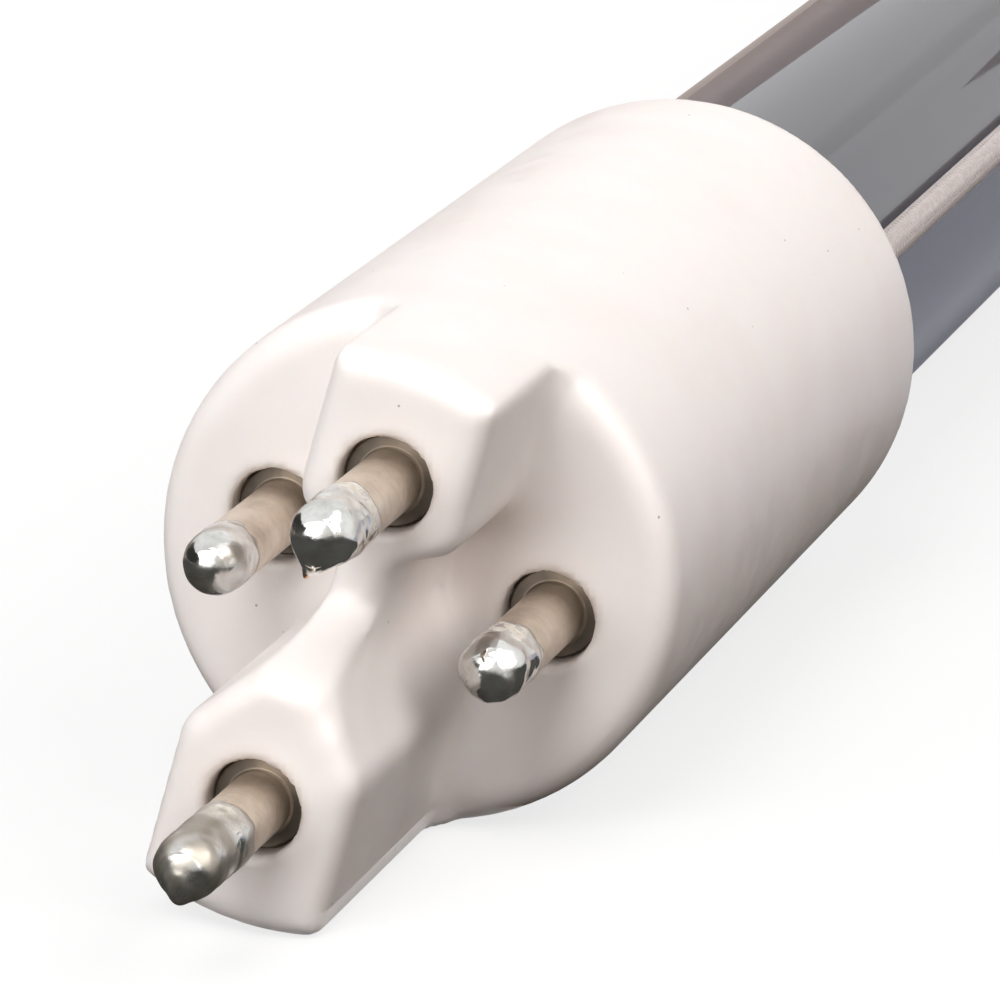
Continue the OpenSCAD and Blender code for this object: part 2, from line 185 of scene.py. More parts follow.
class Jig:
    """A Geometry Nodes tree that makes one kind of piece from named sizes."""

    def __init__(self, name, **sizes):
        self.tree = bpy.data.node_groups.new(name, "GeometryNodeTree")
        self.keys = {}
        for size, value in sizes.items():
            kind = "NodeSocketInt" if isinstance(value, int) else "NodeSocketFloat"
            self.keys[size] = self.size(size, kind, value)
        self.keys["Finish"] = self.size("Finish", "NodeSocketMaterial", None)
        self.tree.interface.new_socket("Piece", in_out="OUTPUT", socket_type="NodeSocketGeometry")
        self.given = self.tree.nodes.new("NodeGroupInput").outputs

    def size(self, name, kind, value):
        """Adds a named size to the tree and gives its identifier."""
        socket = self.tree.interface.new_socket(name.replace("_", " "), in_out="INPUT", socket_type=kind)
        socket.default_value = value
        return socket.identifier

    def get(self, name):
        """A size, for use in the tree."""
        return self.given[name.replace("_", " ")]

    def node(self, kind, inputs=None, **settings):
        """A node with its settings, and with inputs that are values or other nodes' outputs."""
        node = self.tree.nodes.new(kind)
        for name, value in settings.items():
            setattr(node, name, value)
        for name, value in (inputs or {}).items():
            if isinstance(value, bpy.types.NodeSocket):
                self.tree.links.new(value, node.inputs[name])
            else:
                node.inputs[name].default_value = value
        return node

    def math(self, operation, a, b=0.0):
        return self.node("ShaderNodeMath", {0: a, 1: b}, operation=operation).outputs[0]

    def times(self, a, b):
        return self.math("MULTIPLY", a, b)

    def plus(self, a, b):
        return self.math("ADD", a, b)

    def less(self, a, b):
        return self.math("SUBTRACT", a, b)

    def point(self, x=0.0, y=0.0, z=0.0):
        return self.node("ShaderNodeCombineXYZ", {0: x, 1: y, 2: z}).outputs[0]

    def place_of(self):
        """The x, y and z of each point."""
        here = self.node("GeometryNodeInputPosition").outputs[0]
        return self.node("ShaderNodeSeparateXYZ", {0: here}).outputs

    def eased(self, value, low, high, out_low, out_high):
        """A value spread from one range to another, smoothly, and held at its ends."""
        return self.node("ShaderNodeMapRange", {
            "Value": value, "From Min": low, "From Max": high, "To Min": out_low, "To Max": out_high},
            interpolation_type="SMOOTHSTEP").outputs[0]

    def lumps(self, size, seed):
        """Noise about a half, with lumps of that size, from a fixed seed."""
        return self.node("ShaderNodeTexNoise", {"Scale": 1 / size, "W": seed, "Detail": 2.0},
                         noise_dimensions="4D").outputs[0]

    def line(self, start, end, count):
        """A straight path with that many points."""
        path = self.node("GeometryNodeCurvePrimitiveLine", {"Start": start, "End": end}).outputs[0]
        return self.node("GeometryNodeResampleCurve", {"Curve": path, "Count": count}).outputs[0]

    def moved(self, geometry, place):
        return self.node("GeometryNodeSetPosition", {"Geometry": geometry, "Position": place}).outputs[0]

    def swollen(self, geometry, height):
        """The shape with each point moved out along its normal."""
        normal = self.node("GeometryNodeInputNormal").outputs[0]
        out = self.node("ShaderNodeVectorMath", {0: normal, "Scale": height}, operation="SCALE").outputs[0]
        return self.node("GeometryNodeSetPosition", {"Geometry": geometry, "Offset": out}).outputs[0]

    def swept(self, path, radius, sides, caps=True, width=1.0):
        """A round section of that radius, times a width, carried along a path."""
        ring = self.node("GeometryNodeCurvePrimitiveCircle", {"Resolution": sides, "Radius": radius})
        return self.node("GeometryNodeCurveToMesh", {
            "Curve": path, "Profile Curve": ring.outputs[0], "Scale": width, "Fill Caps": caps}).outputs[0]

    def joined(self, *parts):
        join = self.node("GeometryNodeJoinGeometry")
        for part in parts:
            self.tree.links.new(part, join.inputs[0])
        return join.outputs[0]

    def placed(self, geometry, place, turn=0.0):
        """The shape turned about Y and moved to its place."""
        spin = self.point(0.0, turn, 0.0)
        return self.node("GeometryNodeTransform", {
            "Geometry": geometry, "Translation": place, "Rotation": spin}).outputs[0]

    def seat(self):
        """Where the piece stands, from its own three inputs."""
        return self.point(*(self.get(axis) for axis in "XYZ"))

    def close(self, geometry, crease=35):
        """Ends the tree: one closed skin, smooth but for its creases, in its finish."""
        skin = self.node("GeometryNodeMergeByDistance", {"Geometry": geometry, "Distance": WELD}).outputs[0]
        fold = self.node("GeometryNodeInputMeshEdgeAngle").outputs[0]
        smooth = self.math("LESS_THAN", fold, math.radians(crease))
        skin = self.node("GeometryNodeSetShadeSmooth", {
            "Geometry": skin, "Shade Smooth": smooth}, domain="EDGE").outputs[0]
        skin = self.node("GeometryNodeRealizeInstances", {"Geometry": skin}).outputs[0]
        skin = self.node("GeometryNodeSetMaterial", {
            "Geometry": skin, "Material": self.get("Finish")}).outputs[0]
        self.node("NodeGroupOutput", {0: skin})

    def make(self, name, finish, place=None, **sizes):
        """A plain mesh piece of those sizes, at that place."""
        if place is not None:
            sizes.update(zip("XYZ", place))
        piece = shown(name, bpy.data.meshes.new(name))
        jig = piece.modifiers.new("jig", "NODES")
        jig.node_group = self.tree
        for size, value in sizes.items():
            jig[self.keys[size]] = value
        jig[self.keys["Finish"]] = finish
        seen = piece.evaluated_get(bpy.context.evaluated_depsgraph_get())
        mesh = bpy.data.meshes.new_from_object(seen)
        piece.modifiers.remove(jig)
        piece.data = mesh
        return piece


# Finishes

class Finish:
    """A finish whose nodes are laid out by short calls."""

    def __init__(self, name, **settings):
        self.material = bpy.data.materials.new(name)
        self.material.use_nodes = True
        self.nodes = self.material.node_tree.nodes
        self.links = self.material.node_tree.links
        self.skin = self.nodes["Principled BSDF"]
        self.set(self.skin, settings)
        self.place = self.node("ShaderNodeTexCoord").outputs["Object"]

    def set(self, node, settings):
        """Sets a node's inputs, each to a value or to another node's output."""
        for name, value in settings.items():
            socket = node.inputs[name.replace("_", " ")] if isinstance(name, str) else node.inputs[name]
            if isinstance(value, bpy.types.NodeSocket):
                self.links.new(value, socket)
            else:
                socket.default_value = value

    def node(self, kind, inputs=None, **settings):
        node = self.nodes.new(kind)
        for name, value in settings.items():
            setattr(node, name, value)
        self.set(node, inputs or {})
        return node

    def lumps(self, size, detail=3, roughness=0.5, stretch=None, distortion=0):
        """Noise with lumps of that size in metres, as a number about a half."""
        place = self.place
        if stretch:
            place = self.node("ShaderNodeMapping", {"Vector": place, "Scale": stretch}).outputs[0]
        node = self.node("ShaderNodeTexNoise", {
            "Vector": place, "Scale": 1 / size, "Detail": detail,
            "Roughness": roughness, "Distortion": distortion})
        return node.outputs[0]

    def ramp(self, value, *stops):
        """A value through stops of (place, colour)."""
        node = self.node("ShaderNodeValToRGB", {0: value})
        stops_in = node.color_ramp.elements
        while len(stops_in) < len(stops):
            stops_in.new(1)
        for element, (place, colour) in zip(stops_in, stops):
            element.position = place
            element.color = colour if len(colour) == 4 else (*colour, 1)
        return node.outputs[0]

    def span(self, value, low, high, out_low=0, out_high=1):
        """A value spread from one range to another, smoothly, and held at its ends."""
        node = self.node("ShaderNodeMapRange", {
            "Value": value, "From Min": low, "From Max": high, "To Min": out_low, "To Max": out_high},
            interpolation_type="SMOOTHSTEP")
        return node.outputs[0]

    def math(self, operation, a, b):
        return self.node("ShaderNodeMath", {0: a, 1: b}, operation=operation).outputs[0]

    def blend(self, share, a, b, kind="MIX"):
        """Colour a with that share of colour b."""
        node = self.node("ShaderNodeMix", {0: share}, data_type="RGBA", blend_type=kind)
        self.set(node, {6: a if isinstance(a, bpy.types.NodeSocket) else (*a, 1)})
        self.set(node, {7: b if isinstance(b, bpy.types.NodeSocket) else (*b, 1)})
        return node.outputs[2]

    def painted(self, name):
        """The numbers painted on the mesh under that name."""
        return self.node("ShaderNodeAttribute", attribute_name=name).outputs["Fac"]

    def bump(self, height, depth, strength=1.0, under=None):
        """A bumpy normal of that depth in metres, over another one if given."""
        inputs = {"Height": height, "Distance": depth, "Strength": strength}
        if under is not None:
            inputs["Normal"] = under
        return self.node("ShaderNodeBump", inputs).outputs[0]


SPECK_CELL = 1.2 * MM


def ceramic_finish():
    """Fired steatite: warm white, faintly mottled, with a few dark specks, a brown stain round the pins,
    and painted shade darkening their recesses.
    """
    f = Finish("fired_ceramic", Subsurface_Weight=0.25, Subsurface_Scale=0.6 * MM, IOR=1.5)
    f.set(f.skin, {"Subsurface Radius": (1.0, 0.75, 0.55)})
    mottle = f.span(f.lumps(5 * MM, 4), 0.35, 0.7)
    colour = f.blend(mottle, (0.885, 0.838, 0.82), (0.865, 0.805, 0.78))
    cells = f.node("ShaderNodeTexVoronoi", {"Vector": f.place, "Scale": 1 / SPECK_CELL, "Randomness": 1.0})
    rare = f.span(f.node("ShaderNodeSeparateColor", {0: cells.outputs["Color"]}).outputs[0], 0.72, 0.73)
    dot = f.math("MULTIPLY", f.span(cells.outputs["Distance"], 0.06, 0.035), rare)
    colour = f.blend(f.math("MULTIPLY", dot, 0.7), colour, (0.24, 0.19, 0.15))
    # Brown stain round the pins, with painted shade inside their recesses that darkens towards the recess
    # floor
    stain_and_shade = f.math("MULTIPLY", f.painted("stain_and_shade"), f.span(f.lumps(1.2 * MM, 3), 0.25, 0.8, 0.4, 1.0))
    colour = f.blend(stain_and_shade, colour, (0.30, 0.24, 0.19))
    waves = f.bump(f.lumps(2.5 * MM, 2), 0.03 * MM)
    f.set(f.skin, {
        "Base Color": colour,
        "Roughness": f.span(f.lumps(1.5 * MM, 3), 0.3, 0.7, 0.34, 0.46),
        "Normal": f.bump(f.lumps(0.35 * MM, 2), 0.006 * MM, 1.0, waves)})
    return f.material


def cement_finish():
    """Dry lamp cement: grainy and dull."""
    f = Finish("lamp_cement")
    grain = f.lumps(0.4 * MM, 6, 0.7)
    f.set(f.skin, {
        "Base Color": f.ramp(grain, (0.3, (0.62, 0.56, 0.46)), (0.7, (0.86, 0.81, 0.72))),
        "Roughness": f.span(grain, 0.3, 0.7, 0.75, 0.95),
        "Normal": f.bump(grain, 0.15 * MM)})
    return f.material


def pin_finish():
    """Nickel plate gone dull and tan, with faint rings from turning, and painted shade where the pin sinks
    into its recess.
    """
    f = Finish("dull_nickel", Metallic=1.0)
    cloud = f.lumps(1.1 * MM, 4, 0.6)
    rings = f.lumps(0.12 * MM, 2, 0.5, stretch=(0.15, 1.0, 0.15))
    colour = f.ramp(
        cloud, (0.25, (0.50, 0.42, 0.34)), (0.5, (0.66, 0.565, 0.47)), (0.75, (0.76, 0.67, 0.57)))
    colour = f.blend(f.span(rings, 0.55, 0.8, 0, 0.35), colour, (0.30, 0.26, 0.21))
    # Painted shade: darker down the shank into the recess, and darkest on the collar at the recess floor
    colour = f.blend(f.painted("shade"), colour, (0.10, 0.085, 0.07))
    f.set(f.skin, {
        "Base Color": colour,
        "Roughness": f.span(cloud, 0.3, 0.7, 0.46, 0.34),
        "Normal": f.bump(rings, 0.012 * MM, 1.0, f.bump(f.lumps(0.3 * MM, 3), 0.01 * MM))})
    return f.material


def solder_finish():
    """Bright dipped solder with grey skin, and cream flux where it was painted."""
    f = Finish("dipped_solder")
    flux = f.painted("flux")
    dross = f.painted("dross")
    cloud = f.lumps(0.7 * MM, 4, 0.6)
    metal = f.ramp(cloud, (0.3, (0.60, 0.60, 0.58)), (0.6, (0.78, 0.78, 0.76)))
    metal = f.blend(dross, metal, (0.38, 0.345, 0.30))
    metal = f.blend(f.painted("copper"), metal, (0.80, 0.45, 0.32))
    crust = f.ramp(f.lumps(0.3 * MM, 5, 0.7), (0.3, (0.50, 0.43, 0.33)), (0.6, (0.80, 0.76, 0.69)))
    grain = f.lumps(0.22 * MM, 4, 0.6)
    rough = f.span(cloud, 0.35, 0.75, 0.06, 0.16)
    rough = f.math("ADD", rough, f.math("MULTIPLY", f.math("MAXIMUM", flux, dross), 0.35))
    f.set(f.skin, {
        "Base Color": f.blend(flux, metal, crust),
        "Metallic": f.math("SUBTRACT", 1.0, flux),
        "Roughness": rough,
        "Normal": f.bump(grain, 0.012 * MM, 0.5)})
    return f.material


def quartz_finish():
    """Clear quartz with painted shade: the grey that dark surroundings give the glass is painted into its
    colour.
    """
    f = Finish("quartz_painted_grey", Transmission_Weight=1.0, IOR=1.46)
    # Painted shade: uneven grey standing for the dark surroundings seen through the glass
    painted_grey_lumps = f.lumps(14 * MM, 3, 0.5, stretch=(1.0, 0.3, 1.0))
    f.set(f.skin, {
        "Base Color": f.ramp(painted_grey_lumps, (0.3, (0.22, 0.225, 0.26)), (0.7, (0.27, 0.265, 0.29))),
        "Roughness": f.span(f.lumps(3 * MM, 3), 0.3, 0.7, 0.015, 0.04)})
    return f.material


def wire_finish(name, colour, dark, roughness=0.32):
    """Drawn wire: fine lines and small dull spots."""
    f = Finish(name, Metallic=1.0)
    spots = f.lumps(0.5 * MM, 4, 0.6)
    f.set(f.skin, {
        "Base Color": f.ramp(spots, (0.3, dark), (0.65, colour)),
        "Roughness": f.span(spots, 0.3, 0.7, roughness + 0.15, roughness),
        "Normal": f.bump(f.lumps(0.15 * MM, 2, 0.5, stretch=(1.0, 0.2, 1.0)), 0.01 * MM)})
    return f.material


def sleeve_finish():
    """Pale glass-fibre sleeving."""
    f = Finish("glass_fibre_sleeve", Sheen_Weight=0.2)
    fibre = f.lumps(0.2 * MM, 4, 0.6)
    f.set(f.skin, {
        "Base Color": f.ramp(fibre, (0.3, (0.44, 0.38, 0.37)), (0.7, (0.60, 0.54, 0.53))),
        "Roughness": f.span(fibre, 0.3, 0.7, 0.7, 0.85),
        "Normal": f.bump(fibre, 0.04 * MM)})
    return f.material


def emitter_finish():
    """Tungsten coil under its chalky emitter."""
    f = Finish("coated_tungsten")
    chalk = f.span(f.lumps(0.6 * MM, 4, 0.65), 0.4, 0.55)
    f.set(f.skin, {
        "Base Color": f.blend(chalk, (0.33, 0.33, 0.34), (0.82, 0.81, 0.78)),
        "Metallic": f.math("SUBTRACT", 1.0, chalk),
        "Roughness": f.span(chalk, 0, 1, 0.4, 0.85),
        "Normal": f.bump(chalk, 0.03 * MM)})
    return f.material


def amalgam_finish():
    """Bright grey amalgam with a wrinkled skin."""
    f = Finish("amalgam", Metallic=1.0)
    skin = f.lumps(0.6 * MM, 4, 0.6)
    f.set(f.skin, {
        "Base Color": f.ramp(skin, (0.3, (0.38, 0.39, 0.40)), (0.7, (0.70, 0.71, 0.72))),
        "Roughness": f.span(skin, 0.3, 0.7, 0.3, 0.12),
        "Normal": f.bump(skin, 0.05 * MM)})
    return f.material


CERAMIC = ceramic_finish()
CEMENT = cement_finish()
NICKEL = pin_finish()
SOLDER = solder_finish()
QUARTZ = quartz_finish()
LEAD = wire_finish("tinned_wire", (0.60, 0.59, 0.56), (0.36, 0.34, 0.31))
POST = wire_finish("post_wire", (0.52, 0.52, 0.54), (0.30, 0.29, 0.29))
FOIL = wire_finish("molybdenum_foil", (0.40, 0.40, 0.43), (0.22, 0.20, 0.22), 0.28)
SLEEVE = sleeve_finish()
EMITTER = emitter_finish()
AMALGAM = amalgam_finish()


def fitted(piece, material, slot, *nodes):
    """Gives a piece its finish and its place on the lamp; its slot is not used."""
    piece.data.materials.clear()
    piece.data.materials.append(material)
    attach(piece, "root")
    if nodes:
        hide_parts(*nodes)


# Ceramic base and far cap

SKIN = 0.27 * MM
FRONT_Y = pin_axis(1).y
HOLLOW_DEPTH = 2.5 * MM
MOST_LIFT = 1.1 * MM
LIFT_GAP = 0.3 * MM
LIFT_FADE = 0.6 * MM
EDGE_PASSES = 3
CAP_PASSES = 4
HOLLOW_PASSES = 80
LIP = 0.18 * MM
REACH = 0.22 * MM
STAIN_REACH = 0.6 * MM
STAIN_PATCH = 1.3 * MM


def skinned(node):
    """A ceramic node as one even skin."""
    piece = shown("green_ceramic", merged_copy(node))
    even = piece.modifiers.new("even skin", "REMESH")
    even.mode = "VOXEL"
    even.voxel_size = SKIN
    even.use_smooth_shade = True
    return settled(piece)


def softened(mesh, passes):
    """A copy of a skin with softer edges."""
    piece = shown("soft_ceramic", mesh.copy())
    soft = piece.modifiers.new("soft edges", "SMOOTH")
    soft.factor = 0.5
    soft.iterations = passes
    return settled(piece)


def filled_hollows(crisp, soft):
    """Lifts the hollow corners of the front onto the soft skin, and leaves its edges crisp."""
    points = points_of(crisp)
    outward = normals_of(crisp)
    lift = np.sum((points_of(soft) - points) * outward, axis=1)
    share = np.clip((FRONT_Y + HOLLOW_DEPTH - points[:, 1]) / MM, 0, 1)
    for number in PINS:
        _, _, away = from_axis(points, pin_axis(number))
        share *= np.clip((away - RECESS_R - LIFT_GAP) / LIFT_FADE, 0, 1)
    place_points(crisp, points + outward * (share * np.clip(lift, 0, MOST_LIFT))[:, None])


def trued_recesses(mesh):
    """Draws the pin recesses onto true circles with a small round lip, as the press tool leaves them."""
    points = points_of(mesh)
    for number in PINS:
        axis = pin_axis(number)
        across, rise, away = from_axis(points, axis)
        out = away - RECESS_R
        deep = points[:, 1] - axis.y
        near = (out > -REACH) & (out < LIP + REACH) & (deep > -REACH) & (deep < RECESS_DEPTH - REACH)
        lip = near & (out < LIP) & (deep < LIP)
        to_lip = np.maximum(np.hypot(LIP - out, LIP - deep), WELD / 100)
        new_out = np.where(lip, LIP - (LIP - out) * LIP / to_lip, out)
        new_deep = np.where(lip, LIP - (LIP - deep) * LIP / to_lip, deep)
        wall = near & (deep >= LIP) & (out < REACH)
        new_out = np.where(wall, 0, new_out)
        flat = near & (out >= LIP) & (deep < REACH)
        new_deep = np.where(flat, 0, new_deep)
        true = (RECESS_R + new_out) / np.maximum(away, 0.1 * MM)
        points[:, 0] = axis.x + across * true
        points[:, 1] = axis.y + new_deep
        points[:, 2] = axis.z + rise * true
    place_points(mesh, points)


def stain_and_shade_round_pins(points):
    """Stain and painted shade from 0 to 1: in the pin recesses, stain under painted shade that darkens
    towards their floors, and a thin breath of stain round them.
    """
    stain_and_shade = np.zeros(len(points))
    patches = np.clip(0.5 + smooth_noise(points, STAIN_PATCH, 41), 0, 1)
    for number in PINS:
        axis = pin_axis(number)
        _, _, away = from_axis(points, axis)
        depth = points[:, 1] - axis.y
        # Inside the recess: stain with painted shade that deepens towards the recess floor
        inside = (away < RECESS_R * 1.04) & (depth > -0.1 * MM)
        deep = np.clip(depth / (0.8 * RECESS_DEPTH), 0, 1)
        stain_and_shade = np.maximum(stain_and_shade, np.where(inside, 0.4 + 0.6 * deep, 0))
        ring = np.clip(1 - (away - RECESS_R) / STAIN_REACH, 0, 1) ** 2
        stain_and_shade = np.maximum(stain_and_shade, np.where(np.abs(depth) < 0.3 * MM, 0.6 * ring * patches, 0))
    return stain_and_shade


unfired = skinned("base_shell")
base_mesh = softened(unfired, EDGE_PASSES)
filled_hollows(base_mesh, softened(unfired, HOLLOW_PASSES))
trued_recesses(base_mesh)
# Paints the pin stain and the painted recess shade onto the base
paint(base_mesh, "stain_and_shade", stain_and_shade_round_pins(points_of(base_mesh)))
fitted(shown("ceramic_base", base_mesh), CERAMIC, "ceramic", "base_shell")

cap_mesh = softened(skinned("end_cap"), CAP_PASSES)
paint(cap_mesh, "stain_and_shade", np.zeros(len(cap_mesh.vertices)))
fitted(shown("far_cap", cap_mesh), CERAMIC, "ceramic", "end_cap")


# Contact pins

SIDES = 72
BEVEL = 0.06 * MM
DENT = 0.02 * MM
DENT_SIZE = 1.3 * MM
STATION_CUTS = 5


def at_station(jig, row, values):
    """The value of a station by its place in the row."""
    pick = jig.node("GeometryNodeIndexSwitch", data_type="FLOAT")
    while len(pick.index_switch_items) < len(values):
        pick.index_switch_items.new()
    jig.tree.links.new(row, pick.inputs[0])
    for socket, value in zip(list(pick.inputs)[1:], values):
        jig.tree.links.new(value, socket)
    return pick.outputs[0]


def pin_jig():
    """A round pin turned to a row of stations: shank, collar, stem in the web, and flared tail."""
    jig = Jig("turned_pin", Shank_Radius=PIN_R, Collar_Radius=RECESS_R - COLLAR_GAP, Tail_Radius=TAIL_R,
              Front=-PIN_OUT + PIN_R, Collar_Start=RECESS_DEPTH - COLLAR_T, Collar_End=RECESS_DEPTH,
              Flare_Start=PIN_WEB, Flare_End=PIN_WEB + FLARE_T, Tail_End=PIN_WEB + TAIL_LEN,
              Bevel=BEVEL, Dents=DENT, Seed=1, X=0.0, Y=0.0, Z=0.0)
    shank, collar, tail = (jig.get(f"{part}_Radius") for part in ("Shank", "Collar", "Tail"))
    bevel = jig.get("Bevel")
    edge = jig.times(bevel, 0.2)
    sunk = jig.less(shank, bevel)
    start, end = jig.get("Collar_Start"), jig.get("Collar_End")
    flare, flare_end = jig.get("Flare_Start"), jig.get("Flare_End")
    stations = [
        (jig.get("Front"), sunk), (jig.plus(jig.get("Front"), bevel), shank),
        (jig.less(start, bevel), shank), (start, jig.plus(shank, bevel)),
        (jig.plus(start, edge), jig.less(collar, bevel)), (jig.plus(start, bevel), collar),
        (jig.less(end, edge), collar), (end, shank),
        (jig.less(flare, edge), shank), (flare, jig.less(tail, bevel)),
        (jig.plus(flare, bevel), tail), (jig.less(flare_end, bevel), tail),
        (flare_end, jig.less(tail, bevel)), (jig.plus(flare_end, edge), shank),
        (jig.less(jig.get("Tail_End"), bevel), shank), (jig.get("Tail_End"), sunk)]
    path = jig.line((0, 0, 0), (0, 1, 0), len(stations))
    row = jig.node("GeometryNodeInputIndex").outputs[0]
    path = jig.moved(path, jig.point(0.0, at_station(jig, row, [y for y, _ in stations]), 0.0))
    path = jig.node("GeometryNodeSetCurveRadius", {
        "Curve": path, "Radius": at_station(jig, row, [r for _, r in stations])}).outputs[0]
    path = jig.node("GeometryNodeSubdivideCurve", {"Curve": path, "Cuts": STATION_CUTS}).outputs[0]
    pin = jig.swept(path, 1.0, SIDES, True, jig.node("GeometryNodeInputRadius").outputs[0])
    on_shank = jig.math("LESS_THAN", jig.place_of()[1], jig.less(start, bevel))
    height = jig.times(jig.get("Dents"), on_shank)
    dents = jig.times(jig.less(jig.lumps(DENT_SIZE, jig.get("Seed")), 0.55), height)
    jig.close(jig.placed(jig.swollen(pin, dents), jig.seat()))
    return jig


PIN_JIG = pin_jig()
for number in PINS:
    pad = pin_axis(number)
    pin = PIN_JIG.make(f"nickel_pin_{number}", NICKEL, pad, Seed=number)
    points = points_of(pin.data)
    depth = np.clip((points[:, 1] - pad.y) / (RECESS_DEPTH - COLLAR_T), 0, 1)
    _, _, away = from_axis(points, pad)
    # Painted shade: none on the open shank, rising into the recess, and deep on the collar and tail
    paint(pin.data, "shade", np.where(away > PIN_R + 2 * BEVEL, 0.75, 0.3 * depth))
    fitted(pin, NICKEL, "pin_metal", f"contact_pin_{number}")


# Solder tips

# Each tip: how far the solder runs up the pin, its lumps, how dull it is, how far its dark skin
# spreads, the cream flux band as (from, to, middle angle, half width), its copper drip as (angle,
# along), and its nibs as (angle, along, height, spread). Angles are in degrees about the pin, from
# +X up; lengths are in millimetres, and those along the pin start at the nose.
TIPS = {
    1: dict(run=2.5, lump=0.05, dull=0.15, dross=0.45, flux=(2.0, 2.5, 120, 60), drip=None, nibs=()),
    2: dict(run=3.6, lump=0.10, dull=0.0, dross=0.45, flux=(2.7, 3.6, 100, 120), drip=(248, 0.75),
            nibs=((255, 0.55, 0.26, 0.30), (248, 0.75, 0.30, 0.09))),
    3: dict(run=3.0, lump=0.09, dull=0.0, dross=0.40, flux=(1.5, 2.9, 115, 75), drip=None,
            nibs=((175, 0.9, 0.12, 0.35),)),
    4: dict(run=4.6, lump=0.07, dull=0.65, dross=0.60, flux=(3.2, 4.4, 80, 30), drip=None,
            nibs=((262, 0.30, 0.30, 0.24),)),
}

TIP_RINGS = 48
LEAST_SKIN = 0.03 * MM
RAGGED = 0.35 * MM
LUMP_SIZE = 1.1 * MM
FINE_LUMP_SIZE = 0.4 * MM

# The copper drip's radius and the dull seam's half width, in millimetres like the table above
DRIP_R = 0.10
SEAM = 0.12


def ring_gap(angle, turn):
    """Degrees between two angles, the short way round."""
    return np.abs((angle - turn + 180) % 360 - 180)


def dome(run, pad):
    """A round dome on the end of a pin, with a skirt that runs up the pin."""
    profile = [(0, 0)]
    for k in range(1, TIP_RINGS + 1):
        turn = 0.5 * math.pi * k / TIP_RINGS
        profile.append((PIN_R * math.sin(turn), PIN_R * (1 - math.cos(turn))))
    for k in range(1, TIP_RINGS + 1):
        profile.append((PIN_R, PIN_R + (run - PIN_R) * k / TIP_RINGS))
    profile.append((0.9 * PIN_R, run))
    return turned([(r, y - PIN_OUT) for r, y in profile], 2 * SIDES, pad)


def arc(angle, turn, away):
    """Millimetres round the pin from an angle."""
    return np.radians(ring_gap(angle, turn)) * away / MM


def solder_tip(number):
    """A dipped solder dome with an uneven skin that ends in a ragged edge on the pin."""
    tip = TIPS[number]
    pad = pin_axis(number)
    nose = pad.y - PIN_OUT
    mesh = dome(tip["run"] * MM, pad)
    points = points_of(mesh)
    along = (points[:, 1] - nose) / MM
    across, rise, away = from_axis(points, pad)
    angle = np.degrees(np.arctan2(rise, across))

    swell = tip["lump"] * MM * (smooth_noise(points, LUMP_SIZE, number * 11) + 0.35)
    swell += 0.35 * tip["lump"] * MM * smooth_noise(points, FINE_LUMP_SIZE, number * 13)
    fade = np.clip((tip["run"] - along) / 0.5, 0, 1)
    swell = swell * (0.4 + 0.6 * fade) + LEAST_SKIN
    for turn, station, height, spread in tip["nibs"]:
        off = arc(angle, turn, away)
        swell += height * MM * np.exp(-(off ** 2 + (along - station) ** 2) / (2 * spread ** 2))

    rim = along > tip["run"] * 0.995
    ragged = RAGGED * smooth_noise(np.c_[across, 0 * along, rise] * 1.6, 0.9 * MM, number * 17)
    points[:, 1] += ragged * np.clip((along - 0.6 * tip["run"]) / (0.4 * tip["run"]), 0, 1)
    grow = 1 + np.where(rim & (away < 0.95 * PIN_R), 0, swell) / np.maximum(away, 0.45 * MM)
    points[:, 0] = pad.x + across * grow
    points[:, 2] = pad.z + rise * grow
    points[:, 1] -= np.where(away < 0.6 * PIN_R, 0.3 * swell, 0)
    points[:, 1] += nose - points[:, 1].min()
    place_points(mesh, points)

    low, high, turn, half = tip["flux"]
    band = np.clip((along - low) / 0.3, 0, 1) * np.clip((high - along) / 0.15, 0, 1)
    band *= np.clip((half - ring_gap(angle, turn)) / 20, 0, 1)
    paint(mesh, "flux", np.clip(band * (0.75 + 1.5 * smooth_noise(points, 0.5 * MM, number * 5)), 0, 1))

    copper = np.zeros(len(points))
    if tip["drip"]:
        turn, station = tip["drip"]
        copper = np.clip(2 - np.hypot(arc(angle, turn, away), along - station) / DRIP_R, 0, 1)
    paint(mesh, "copper", copper)

    dark = tip["dull"] + 2 * tip["dross"] * (smooth_noise(points, 0.8 * MM, number * 3) + 0.15)
    wander = 0.25 * smooth_noise(points, 0.5 * MM, number * 7)
    up_pin = (points[:, 1] - nose) / MM
    seam = 1 - np.abs(up_pin - tip["run"] + SEAM - wander) / SEAM
    paint(mesh, "dross", np.clip(np.maximum(dark, 1.2 * seam), 0, 1))
    fitted(shown(f"solder_tip_{number}", mesh), SOLDER, "solder", f"pin_solder_{number}")


for number in PINS:
    solder_tip(number)


# Quartz tube

# The pressed seals and the filaments lie in line with pin 3
KEY_PIN = pin_axis(3)
KEY_TURN = math.atan2(-KEY_PIN.z, KEY_PIN.x)
TUBE_SIDES = 96
TUBE_RINGS = 160


def tube_jig():
    """A round tube drawn in over its shoulders and pressed flat into a seal at both ends."""
    jig = Jig("pressed_tube", Radius=TUBE_R, Wall=TUBE_WALL, Near_End=0.0, Far_End=1.0, Shoulder=SHOULDER,
              Press_Length=PRESS_LEN, Press_Width=PRESS_W, Press_Thickness=PRESS_T, Turn=KEY_TURN)
    outside = tube_skin(jig, 0.0, jig.get("Near_End"), jig.get("Far_End"), True)
    sealed = jig.plus(jig.get("Press_Length"), jig.get("Wall"))
    inside = tube_skin(jig, jig.get("Wall"), jig.plus(jig.get("Near_End"), sealed),
                       jig.less(jig.get("Far_End"), sealed), False)
    inside = jig.node("GeometryNodeFlipFaces", {"Mesh": inside}).outputs[0]
    jig.close(jig.placed(jig.joined(outside, inside), (0, 0, 0), jig.get("Turn")))
    return jig


